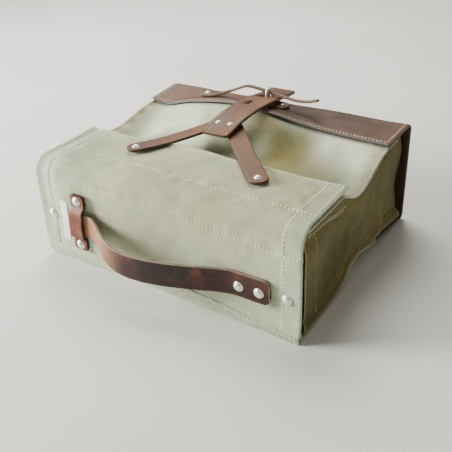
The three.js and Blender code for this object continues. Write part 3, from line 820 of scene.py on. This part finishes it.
def make_lid():
    lid = Sheet(lid_surface, ACROSS, np.linspace(LID_LOW, LID_END, 96))
    a, b = lid.a, lid.b
    aside = HALF_WIDTH - abs(a)
    inside = smoothstep(aside, 0, 30)
    relief = hem_step(aside) + seam_pull(aside - HEM_WIDTH)
    relief += seam_pull(b - upper_row(a)) + seam_pull(b - flap_row(a))
    relief += 0.9 * ripples(a, b, 120, 3) * inside + 0.28 * ripples(a, b, 34, 5) * inside
    pucker = bell(aside, HEM_WIDTH, 7) + bell(b, upper_row(a), 6) + bell(b, flap_row(a), 6)
    relief += 0.22 * ripples(a, b, 11, 7) * pucker
    relief -= 2.2 * bell(a, -141, 7) * smoothstep(b, 20, 70)
    relief -= 1.2 * bell(b, 52, 22) * bell(a, -20, 60)
    relief += 0.5 * (1 - smoothstep(LID_END - b, 4, 6))
    relief = np.minimum(relief - 0.6, 0.8)
    lid.raise_by(relief * smoothstep(b, LID_LOW, LID_LOW + 6))
    nodes = ("lid_panel", "flap_panel")
    made = lid.solid("lid_canvas", CANVAS_THICKNESS, canvas, slot="canvas", replaces=nodes)
    bend = (place((0, 28, FLAP_HEIGHT)), place((0, 44, FLAP_HEIGHT)))
    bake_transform(made)
    x = np.linspace(-HALF_WIDTH + 1.5, HALF_WIDTH - 1.5, 120)
    rows = {"top_upper": (x, upper_row(x), "lid"), "flap_fold": (x, flap_row(x), None)}
    for side, word in SIDES:
        hem = side * (HALF_WIDTH - HEM_WIDTH + 1)
        rows[f"hem_{word}"] = (hem, np.linspace(LID_LOW + 4, LID_END - 3, 90), None)
        on_flap = np.linspace(LID_FOLD_START + LID_TURN + 18, LID_END - 3, 30)
        rows[f"flap_edge_{word}"] = (side * (HALF_WIDTH - 3), on_flap, "flap")
    rows["flap_end"] = (x, LID_END - 3, "flap")
    for word, (across, along, body) in rows.items():
        row = sheet_stitches(f"stitches_{word}", lid, across, along, cream_thread, body)
        if body is None:
            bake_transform(row)
    return lid


def seam_row(x):
    """Height of the row of stitches that joins the lid to the back."""
    return np.interp(x, (-150, -84, -20, 31, 62, 92, 130, 150), (14.5, 16.5, 15.5, 12.6, 10.4, 7.4, 5, 4.6))


def make_seam_lap():
    """The lapped seam along the back's top edge, which joins the lid to the body."""

    def surface(x, s):
        z = lerp(0.3, seam_row(x) + 2.6, s / 20)
        return corner_tuck(x, z), -0.5 - seam_flare(x, z), z

    lap = Sheet(surface, ACROSS, np.linspace(0, 20, 16))
    pull = seam_pull(lap.points[..., 2] - seam_row(lap.a), 0.3, 1.2)
    lap.raise_by(pull + 0.15 * ripples(lap.a, lap.b, 14, 11))
    made = lap.solid("back_seam", 0.9, canvas, slot="canvas")
    x = np.linspace(-HALF_WIDTH + 2, HALF_WIDTH - 2, 120)
    up = 20 * (seam_row(x) - 0.3) / (seam_row(x) + 2.3)
    row = sheet_stitches("stitches_back_seam", lap, x, up, cream_thread, None)
    for piece in (made, row):
        place((0, 0, 3))
        place((0, 0, 8))
        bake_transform(piece)


def make_front():
    along = np.linspace(FRONT_TOP, LEATHER_FRONT_LEFT + 14, 96)
    front = Sheet(lambda x, y: (x, y, front_height(x, y)), ACROSS, along)
    a, b = front.a, front.b
    aside = HALF_WIDTH - abs(a)
    inside = smoothstep(aside, 2, 34) * smoothstep(b, 60, 100) * smoothstep(leather_edge(a) - b, 0, 26)
    relief = 1.5 * ripples(a, b, 85, 21) * inside + 0.5 * ripples(a, b, 30, 23) * inside
    relief += creases(a, b, 130, ((-3.6, 0.55, 46, 12), (-3, -0.35, -64, 14), (2, 0.2, 92, 16))) * inside
    relief += 0.18 * ripples(a, b, 10, 25) * bell(aside, 8, 6)
    relief += seam_pull(aside - 4.5, 0.5, 1.0) + 0.3 * bell(aside, 1.5, 1.5) - 0.5
    front.raise_by(relief)
    held = 1 - smoothstep(aside, 6, 14) * smoothstep(b, 62, 76) * smoothstep(leather_edge(a) - b, 2, 12)
    front.slump(held, 0.018, 1.5, 4)
    made = front.solid(
        "front_canvas", CANVAS_THICKNESS, front_canvas_look, body="bag", slot="canvas",
        replaces=("front_panel",),
    )
    for side, word in SIDES:
        row = np.linspace(FRONT_TOP + 2, leather_edge(side * HALF_WIDTH) - 1, 90)
        sheet_stitches(f"stitches_front_{word}", front, side * (HALF_WIDTH - 4.5), row, gold_thread, "bag")
    x = np.linspace(-HALF_WIDTH + 4, HALF_WIDTH - 4, 120)
    sheet_stitches("stitches_front_top", front, x, FRONT_TOP + 4, cream_thread, "bag")


FRONT_EDGE = ((12, 7), (32, 8.7), (49, 11.2), (61, 13), (77, 14.8), (84, 14.6), (88, 10), (91, 4), (96, 3))


def make_front_edge(side, word):
    """The turned edge of the front canvas: it hangs deeper under the flap than beyond it."""

    def surface(y, s):
        part = s / 10
        drop = np.interp(y, *zip(*FRONT_EDGE))
        top = front_height(np.full_like(y, side * (HALF_WIDTH - 1.0)), y) - 1.0
        wave = 0.7 * np.sin(y / 9.0) * smoothstep(drop, 7, 12)
        out = HALF_WIDTH - 0.4 - 1.2 * part**2 + wave * part + 0.6 * np.sin(math.pi * part)
        return side * out, y, top - drop * part

    along = np.linspace(FRONT_TOP, leather_edge(side * HALF_WIDTH) - 1, 100)
    flip = (lambda s: 10 - s) if side > 0 else (lambda s: s)
    strip = Sheet(lambda y, s: surface(y, flip(s)), along, np.linspace(0, 10, 9))
    name = f"front_edge_{word}"
    # The +X strip takes the canvas with painted shade, and the -X strip takes the canvas partly darkened with
    # painted shade.
    strip.solid(name, 2.0, side_canvas_painted_shade if side > 0 else side_canvas_part_shaded, body="bag", slot="canvas")
    y = np.linspace(FRONT_TOP + 2, 84, 40)
    sheet_stitches(f"stitches_{name}", strip, y, flip(6.8), gold_thread, "bag")


def make_back():
    """The back lies on the ground, lifts at its +X edge, and turns up inside the seam with the lid."""
    across = np.linspace(-HALF_WIDTH, HALF_WIDTH, 121)
    turn_up = 6
    along = np.linspace(-turn_up, LEATHER_BACK + 6, 88)

    def surface(x, s):
        y = LEATHER_BACK + 10 - (s + turn_up)
        covered = smoothstep(y, LEATHER_BACK - 10, LEATHER_BACK - 2)
        fold = 1.4 + 4.5 * (1 - smoothstep(x, -50, 60))
        round_up = 0.5 * np.clip(2 - y, 0, 4) ** 2 + 0.1 * np.maximum(fold - y, 0)
        z = back_lift(x, y) + covered * (LEATHER_THICKNESS + 0.4) + round_up
        return x * (1 - 0.012 * covered), np.maximum(y, fold), z + 0.05

    back = Sheet(surface, across, along)
    back.points[..., 2] = np.maximum(back.points[..., 2], 0.05)
    # The back takes the side canvas that is partly darkened with painted shade.
    made = back.solid(
        "back_canvas", CANVAS_THICKNESS, side_canvas_part_shaded, body="bag", slot="canvas", replaces=("back_panel",)
    )
    row = np.linspace(back.along[0] + 14, back.along[-1] - 12, 90)
    for side, word in SIDES:
        sheet_stitches(f"stitches_back_{word}", back, side * (HALF_WIDTH - 4.5), row, olive_thread, "bag")


GUSSET_HEIGHT = 100
GUSSET_LIP = 8
GUSSET_START = 18
GUSSET_END = LENGTH - 5
GUSSET_CREASE = ((0, 192), (16, 190), (35, 181), (42, 188), (54, 195), (64, 199), (85, 197), (105, 190))


def make_gusset(side, word):
    """A soft side. Its edges turn out into the seams with the front and the back, and its middle sinks in."""

    def surface(y, s):
        part = s / GUSSET_HEIGHT
        covered = smoothstep(y, LEATHER_BACK - 10, LEATHER_BACK) * LEATHER_THICKNESS
        low = back_lift(np.full_like(y, side * HALF_WIDTH), y) + 2.0 + covered
        high = front_height(np.full_like(y, side * (HALF_WIDTH - 3.0)), y) - 3.0
        far = smoothstep(y, 120, GUSSET_END)
        below = np.clip(1 - s / GUSSET_LIP, 0, 1) ** 0.5
        above = np.clip(1 - (GUSSET_HEIGHT - s) / 5, 0, 1) ** 0.5
        out = np.maximum(below, 0.1 * above)
        bow = np.sin(math.pi * np.clip(part, 0, 1)) ** 0.7
        sink = lerp(1.5 * bow, 3.2 + 1.6 * bow, far)
        x = lerp(HALF_WIDTH - 3.4 - sink, HALF_WIDTH - 0.9, out)
        z = lerp(low, high, part)
        near = (1 - smoothstep(y, GUSSET_START, 45)) * 10 * np.exp(-z / 9)
        return side * x, y - near, z

    across = np.linspace(GUSSET_START, GUSSET_END, 120)
    along = np.linspace(0, GUSSET_HEIGHT, 64)
    flip = (lambda s: s) if side > 0 else (lambda s: GUSSET_HEIGHT - s)
    gusset = Sheet(lambda y, s: surface(y, flip(s)), across, along)
    a, b = gusset.a, flip(gusset.b)
    from_seam = np.minimum(b, GUSSET_HEIGHT - b)
    inside = smoothstep(from_seam, 7, 24) * smoothstep(a, GUSSET_START + 14, GUSSET_START + 40)
    relief = 1.1 * ripples(a, b, 75, 41 + side) * inside + 0.35 * ripples(a, b, 24, 43 + side) * inside
    crease = a - np.interp(b, *zip(*GUSSET_CREASE))
    fold = np.where(crease < 0, bell(crease, 0, 10), bell(crease, 0, 3.2))
    relief += 3.0 * fold * smoothstep(from_seam, 3, 14)
    relief -= 3.4 * smoothstep(b, 72, 88) * (1 - smoothstep(a, 80, 112))
    relief -= 1.6 * smoothstep(b, 84, 94) * smoothstep(a, 80, 112)
    relief += creases(a, b, 50, ((-2.6, 0.3, 74, 15), (1.6, 0.5, 118, 12), (-1.2, 0.6, 152, 9))) * inside
    hem = GUSSET_START + 20.5
    relief += 0.6 * (1 - smoothstep(a, hem, hem + 2.5)) + seam_pull(a - hem, 0.4, 1.3)
    relief += 0.2 * ripples(a, b, 9, 45) * bell(from_seam, GUSSET_LIP, 4)
    relief += seam_pull(b - GUSSET_LIP, 0.6, 1.4)
    gusset.raise_by(relief - 0.6)
    limit = HALF_WIDTH - 0.3
    gusset.points[..., 0] = np.clip(gusset.points[..., 0], -limit, limit)
    node = f"gusset_{word}"
    # The +X side takes the canvas with painted shade, and the -X side takes the canvas partly darkened with
    # painted shade.
    cloth = side_canvas_painted_shade if side > 0 else side_canvas_part_shaded
    made = gusset.solid(f"{node}_canvas", 1.4, cloth, body="bag", slot="canvas", replaces=(node,))
    rows = {
        "hem": (hem, np.linspace(3, GUSSET_HEIGHT - 9, 60)),
        "seam": (np.linspace(GUSSET_START + 2, GUSSET_END - 3, 110), GUSSET_LIP - 0.6),
        "cross_up": (np.linspace(184, 197, 12), np.linspace(4, 20, 12)),
        "cross_down": (np.linspace(184, 197, 12), np.linspace(19, 6, 12)),
    }
    for row, (y, s) in rows.items():
        sheet_stitches(f"stitches_{node}_{row}", gusset, y, flip(s), olive_thread, "bag")


# ---- leather body


def leather_path():
    """How far along the leather its front strip, first corner, wall, second corner and back strip end."""
    front = LENGTH - CORNER_RADIUS - (LEATHER_FRONT_LEFT + LEATHER_FRONT_RIGHT) / 2
    turn = CORNER_RADIUS * math.pi / 2
    wall = DEPTH - 2 * CORNER_RADIUS
    return np.cumsum([front, turn, wall, turn, LENGTH - CORNER_RADIUS - LEATHER_BACK])


def leather_surface(x, s):
    front, first, wall, second, _ = leather_path()
    corner_y = LENGTH - CORNER_RADIUS
    y = lerp(leather_edge(x), corner_y, np.clip(s / front, 0, 1))
    z = leather_height(x, y)
    angle = np.clip((s - front) / CORNER_RADIUS, 0, math.pi / 2)
    y = y + CORNER_RADIUS * np.sin(angle)
    z = z - CORNER_RADIUS * (1 - np.cos(angle))
    down = np.clip(s - first, 0, wall - first)
    z = z - down
    angle = np.clip((s - wall) / CORNER_RADIUS, 0, math.pi / 2)
    y = y - CORNER_RADIUS * (1 - np.cos(angle))
    z = z - CORNER_RADIUS * np.sin(angle)
    y = y - np.maximum(s - second, 0)
    lift = back_lift(x, y) * smoothstep(s, wall - 30, second)
    return x, y, z + lift


def make_leather_bottom():
    total = leather_path()[-1]
    shell = Sheet(leather_surface, ACROSS, np.linspace(0, total, 130))
    a, b = shell.a, shell.b
    inside = smoothstep(shell.edge, 3, 20)
    relief = 0.35 * ripples(a, b, 70, 51) * inside + 0.12 * ripples(a, b, 22, 53) * inside
    relief += seam_pull(shell.edge - 4, 0.3, 1.0) + 0.1 * ripples(a, b, 9, 55) * bell(shell.edge, 4, 3) - 0.3
    shell.raise_by(relief)
    shell.points[..., 2] = np.maximum(shell.points[..., 2], 0.02)
    shell.solid(
        "leather_shell", LEATHER_THICKNESS - 0.4, leather, body="bag", slot="bridle_leather",
        replaces=("leather_bottom",),
    )
    margin = 4.0
    x = np.linspace(-HALF_WIDTH + margin, HALF_WIDTH - margin, 140)
    rows = {"front": (x, margin), "back": (x, total - margin)}
    for side, word in SIDES:
        rows[word] = (side * (HALF_WIDTH - margin), np.linspace(margin, total - margin, 160))
    for word, (across, along) in rows.items():
        sheet_stitches(f"stitches_leather_{word}", shell, across, along, gold_thread, "bag")


# ---- handle


HANDLE_POINTS = (
    (122, -3.8, 0), (104, -3.8, 0), (93, -3.8, 0), (83, -4.3, 0), (73, -6.8, 0), (55, -13.8, 0),
    (38, -20, 0), (16, -26.5, 0), (-6, -30, 0), (-18, -30.2, 0.3), (-33, -28.3, 1.8), (-46, -24, 3.8),
    (-58, -17, 5.6), (-69, -9.6, 7), (-78, -5, 7.9), (-86, -3.9, 8.4), (-94, -3.8, 8.5), (-104, -3.8, 8.5),
    (-112, -3.8, 8.5),
)


def make_handle():
    """One strap in three pieces that meet where it doesn't bend."""
    line = curve_through([(x, y, HANDLE_MIDDLE + rise) for x, y, rise in HANDLE_POINTS])
    strap = Strap(line, (0, 0, -1), HANDLE_WIDTH, 3.3, (6.5, 1.5), bevel=0.8)
    right, left = (float(np.interp(-x, -strap.line[:, 0], strap.s)) for x in (36, -42))
    jointed(strap, handle_leather, "handle_leather", (
        ("handle_riveted", None, right, ("lid", "handle_right"), (82, 66), ("handle_strap_anchor",)),
        ("handle_grip", right, left, ("handle_right", "handle_left"), (9, -19),
         ("handle_strap_right", "handle_strap_left")),
        ("handle_sliding", left, None, ("handle_left", "handle_end"), (-70, -86), ("handle_strap_end",)),
    ))


KEEPER_POINTS = (
    (-97.5, -3.6, 21), (-97.2, -3.6, 27), (-97.1, -3.6, 32.5), (-96.6, -7.4, 37), (-96.1, -7.8, 44),
    (-94.9, -7.8, 60), (-94.3, -7.4, 66), (-93.7, -3.6, 71.5), (-93.4, -3.6, 77), (-93, -3.6, 84),
)


def make_keeper():
    strap = Strap(curve_through(KEEPER_POINTS, 1.0), (-1, 0, 0), 17, 2.9, (3, 3), bevel=0.6)
    strap.piece("keeper", keeper_leather, body="lid", slot="handle_leather", replaces=("handle_keeper",))


# ---- closure


ARM_LEVEL = 115
ARM_HINGE = 76
ARMS = {
    "arm_left": {"rivet": (-68, 63), "end": (-9, 152.6), "width": 17.5},
    "arm_right": {"rivet": (74.5, 60.5), "end": (-1.5, 139.8), "width": 20},
}


def arm_height(y):
    return ARM_LEVEL + 11 * smoothstep(y, ARM_HINGE, 178)


def make_arm(name):
    arm = ARMS[name]
    start = np.array(arm["rivet"], float)
    reach = np.array(arm["end"]) - start
    ahead = unit(reach)
    half = arm["width"] / 2
    plan = start + ahead * np.linspace(-half, np.linalg.norm(reach), 90)[:, None]
    line = np.column_stack([plan, arm_height(plan[:, 1])])
    strap = Strap(line, (-ahead[1], ahead[0], 0), arm["width"], 2.9, (half - 0.3, 1.5))
    nodes = (name, f"{name}_end")
    made = strap.piece(f"{name}_leather", strap_leather, slot="bridle_leather", replaces=nodes)
    place((0, ARM_HINGE - 5, 0))
    place((0, ARM_HINGE + 7, 0))
    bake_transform(made)


TAB_POINTS = ((110, 123), (138, 128.4), (165, 130.4), (192, 129.6), (216, 127.2), (240, 124.2), (256, 123.2))
TAB_WIDTH = 32
SLOTS = ((STAPLE[0], STAPLE[1], 19, 6), (TAB_X - 2.5, 186, 13, 1.8))


def cut_slot(tab, x, y, length, width):
    """Cuts a slot with round ends through the tab."""
    reach = (length - width) / 2
    turns = np.concatenate([np.linspace(0, math.pi, 9), np.linspace(math.pi, 2 * math.pi, 9)])
    away = np.repeat((reach, -reach), 9)
    outline = np.column_stack([x + width / 2 * np.cos(turns), y + away + width / 2 * np.sin(turns)])
    points = [(px, py, z) for z in (112, 140) for px, py in outline]
    faces = ring_faces(np.arange(len(points)).reshape(2, -1)[:, ::-1])
    cutter = make_object("slot_cutter", points, faces, leather)
    modifier = tab.modifiers.new("slot", "BOOLEAN")
    modifier.operation = "DIFFERENCE"
    modifier.solver = "EXACT"
    modifier.object = cutter
    bpy.context.view_layer.update()
    graph = bpy.context.evaluated_depsgraph_get()
    cut = tab.evaluated_get(graph)
    mesh = bpy.data.meshes.new_from_object(cut, preserve_all_data_layers=True, depsgraph=graph)
    tab.modifiers.clear()
    tab.data = mesh
    bpy.data.objects.remove(cutter)


def make_tab():
    line = curve_through([(TAB_X, y, z) for y, z in TAB_POINTS], 2.0)
    strap = Strap(line, (-1, 0, 0), TAB_WIDTH, 2.9, (4, 2.5))
    tab = strap.piece("tab", strap_leather, slot="bridle_leather", replaces=("closure_tab",))
    for slot in SLOTS:
        cut_slot(tab, *slot)
    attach(tab, "closure")
    for side, word in SIDES:
        for row, inset in enumerate((3.5, 8.0)):
            s = np.linspace(4, 44 if row == 0 else 14, 40)
            points, normals = strap.at(s, side * (TAB_WIDTH / 2 - inset))
            stitch_row(f"stitches_tab_{word}_{row}", points, normals, gold_thread, "closure", pitch=3.4)


def patch_height(x, y):
    return leather_height(x, y) + 0.3 + PATCH_THICKNESS


def make_staple():
    middle = STAPLE[1] - 3
    x = np.linspace(PATCH_X - 27.5, PATCH_X + 27.5, 50)
    line = np.column_stack([x, np.full_like(x, middle), patch_height(x, middle)])
    patch = Strap(line, (0, 1, 0), 18, PATCH_THICKNESS, (6, 6))
    patch.piece("staple_patch", strap_leather, body="bag", slot="bridle_leather", replaces=("staple_base",))
    reach = 5.4
    corner = 3.2
    near, far = (patch_height(STAPLE[0], STAPLE[1] + side * reach) - 0.6 for side in (-1, 1))
    high = near + 13.6
    turns = np.linspace(math.pi / 2, 0, 7)
    right = [(reach - corner + corner * math.cos(t), high - corner + corner * math.sin(t)) for t in turns]
    left = [(-y, z) for y, z in reversed(right)]
    path = [(-reach, near), (-reach, lerp(near, high, 0.5)), *left, (0, high)]
    path += [*right, (reach, lerp(far, high, 0.5)), (reach, far)]
    wire = [(STAPLE[0], STAPLE[1] + y, z) for y, z in path]
    tube("staple_wire", wire, 1.35, steel, body="bag", slot="steel", replaces=("staple_loop",))


# ---- locking lace


LACE_POINTS = (
    (-91, 215, 120), (-80, 215, 120.2), (-66, 215.5, 122.8), (-48, 216.5, 129.5), (-30, 218, 136.2),
    (-16, 219.5, 134.8), (0, 220.5, 131.8), (16, 220, 129.8), (32, 219, 128.4), (46, 218.5, 130),
    (57, 218, 133.4),
)


def make_lace():
    """The lace in three pieces that meet where it doesn't bend."""
    line = curve_through(LACE_POINTS, 1.2)
    width = 4.6 + 9.4 * smoothstep(-line[:, 0], 44, 80)
    strap = Strap(line, (0, 1, 0), width, 2.6, (5, 1.2), bevel=0.9)
    first, second = (float(np.interp(x, strap.line[:, 0], strap.s)) for x in (-50, -16))
    jointed(strap, lace_leather, "bridle_leather", (
        ("lace_riveted", None, first, ("bag", "lock_near"), (-74, -58),
         ("lock_strap_anchor", "lock_strap_near")),
        ("lace_hump", first, second, ("lock_near", "lock_far"), (-42, -24), ("lock_strap_far",)),
        ("lace_tail", second, None, ("lock_far", "lock_tail"), (-9, 9), ("lock_strap_tail",)),
    ))


# ---- rivets


def rivet(node, body, centre, axis, grip, head):
    """A nickel rivet in one: dome on a thin flange, shank, and the washer inside."""
    turns = np.linspace(0, math.pi / 2, 10)
    dome = [(0.8 * head * math.sin(t), head * (0.1 + 0.42 * math.cos(t))) for t in turns]
    flange = [(0.84 * head, 0.1 * head), (0.96 * head, 0.09 * head), (head, 0.03 * head), (head, -0.1)]
    shank = [(1.5, -0.15), (1.5, -grip)]
    washer = [(2.6, -grip), (2.9, -grip - 0.3), (2.6, -grip - 0.9), (0, -grip - 1)]
    profile = dome + flange + shank + washer
    lathe(f"{node}_nickel", profile, centre, axis, nickel, body=body, slot="nickel", replaces=(node,))


def make_rivets(lid):
    top = {
        "handle_rivet_inner": (91, 41.5, 3.8, 5), "handle_rivet_outer": (111.5, 41.5, 3.8, 5),
        "keeper_rivet_upper": (-93.7, 77, 3.6, 5), "keeper_rivet_lower": (-97.2, 27, 3.6, 5),
        "corner_rivet_left": (-134, 52, None, 5.2), "corner_rivet_right": (137, 41, None, 5.2),
    }
    for node, (x, z, stack, head) in top.items():
        if stack is None:
            stack = 0.5 - float(lid.sample(np.array([x]), np.array([z]))[0][0, 1])
        rivet(node, "lid", (x, -stack, z), (0, -1, 0), stack + 2.2, head)
    for name, arm in ARMS.items():
        x, y = arm["rivet"]
        rivet(name.replace("arm", "arm_rivet"), "flap", (x, y, ARM_LEVEL), (0, 0, 1), 6, 3.8)
    for node, x in (("staple_rivet_left", PATCH_X - 21), ("staple_rivet_right", PATCH_X + 21)):
        y = STAPLE[1] - 3
        rivet(node, "bag", (x, y, patch_height(x, y)), (0, 0.16, 1), 6.2, 3)
    for node, x, y in (("tab_rivet_left", -12.5, 129.5), ("tab_rivet_right", 1.5, 130)):
        z = float(np.interp(y, [p[0] for p in TAB_POINTS], [p[1] for p in TAB_POINTS]))
        rivet(node, "closure", (x, y, z + 0.3), (0, -0.15, 1), 6.4, 2.8)
    rivet("lock_strap_rivet", "bag", (-83, 215, 120.2), (0, 0, 1), 6.5, 3.3)


def finish_stop_plate():
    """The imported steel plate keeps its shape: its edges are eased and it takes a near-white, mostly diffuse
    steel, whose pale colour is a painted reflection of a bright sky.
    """
    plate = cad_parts["handle_stop_plate"]
    bevel = plate.modifiers.new("eased", "BEVEL")
    bevel.width = 0.3 * MM
    bevel.segments = 2
    plate.data.materials.clear()
    plate.data.materials.append(plate_steel_painted_reflection)


# ---- stage, light and camera


def make_stage():
    mesh = bpy.data.meshes.new("floor")
    corners = [(x * 6.0, y * 6.0, 0) for x, y in ((-1, -1), (1, -1), (1, 1), (-1, 1))]
    mesh.from_pydata(corners, [], [(0, 1, 2, 3)])
    n = Nodes("floor", roughness=0.8, specular=0.2)
    where = n.node("TexCoord", {}, "Object")
    tone = n.ramp(n.noise(3, 2, 0.5, where), (0.3, rgb(226, 225, 221)), (0.7, rgb(234, 233, 230)))
    mesh.materials.append(n.finish(tone))
    into_scene("floor", mesh)


def area_light(name, location, target, size, power, colour):
    light = bpy.data.lights.new(name, "AREA")
    light.shape = "DISK"
    light.size = size
    light.energy = power
    light.color = colour
    made = into_scene(name, light)
    made.location = location
    aim = Vector(target) - Vector(location)
    made.rotation_mode = "QUATERNION"
    made.rotation_quaternion = aim.to_track_quat("-Z", "Y")


def make_light():
    world = bpy.data.worlds.new("studio")
    world.use_nodes = True
    background = world.node_tree.nodes["Background"]
    background.inputs["Color"].default_value = rgb(240, 237, 228)
    background.inputs["Strength"].default_value = 0.3
    bpy.context.scene.world = world
    middle = (0, 0, 0.05)
    area_light("window", (-1.45, -0.8, 0.55), middle, 0.8, 76, (1.0, 0.975, 0.92))
    area_light("sky", (-0.6, 0.75, 1.35), middle, 1.2, 32, (1.0, 0.98, 0.93))
    area_light("fill", (0.9, -1.2, 0.25), middle, 1.0, 1.0, (1.0, 0.84, 0.55))


def make_camera():
    data = bpy.data.cameras.new("camera")
    data.lens = 53.8
    data.sensor_width = 36
    data.clip_start = 0.01
    data.clip_end = 20
    made = into_scene("camera", data)
    made.location = (0.3518, -0.5288, 0.386)
    made.rotation_euler = tuple(math.radians(v) for v in (59.37, 2.33, 32.63))
    bpy.context.scene.camera = made


make_camera()
make_light()
make_stage()
lid_sheet = make_lid()
make_seam_lap()
make_front()
for side_and_word in SIDES:
    make_front_edge(*side_and_word)
make_back()
for side_and_word in SIDES:
    make_gusset(*side_and_word)
make_leather_bottom()
make_handle()
make_keeper()
finish_stop_plate()
for arm_name in ARMS:
    make_arm(arm_name)
make_tab()
make_staple()
make_lace()
make_rivets(lid_sheet)
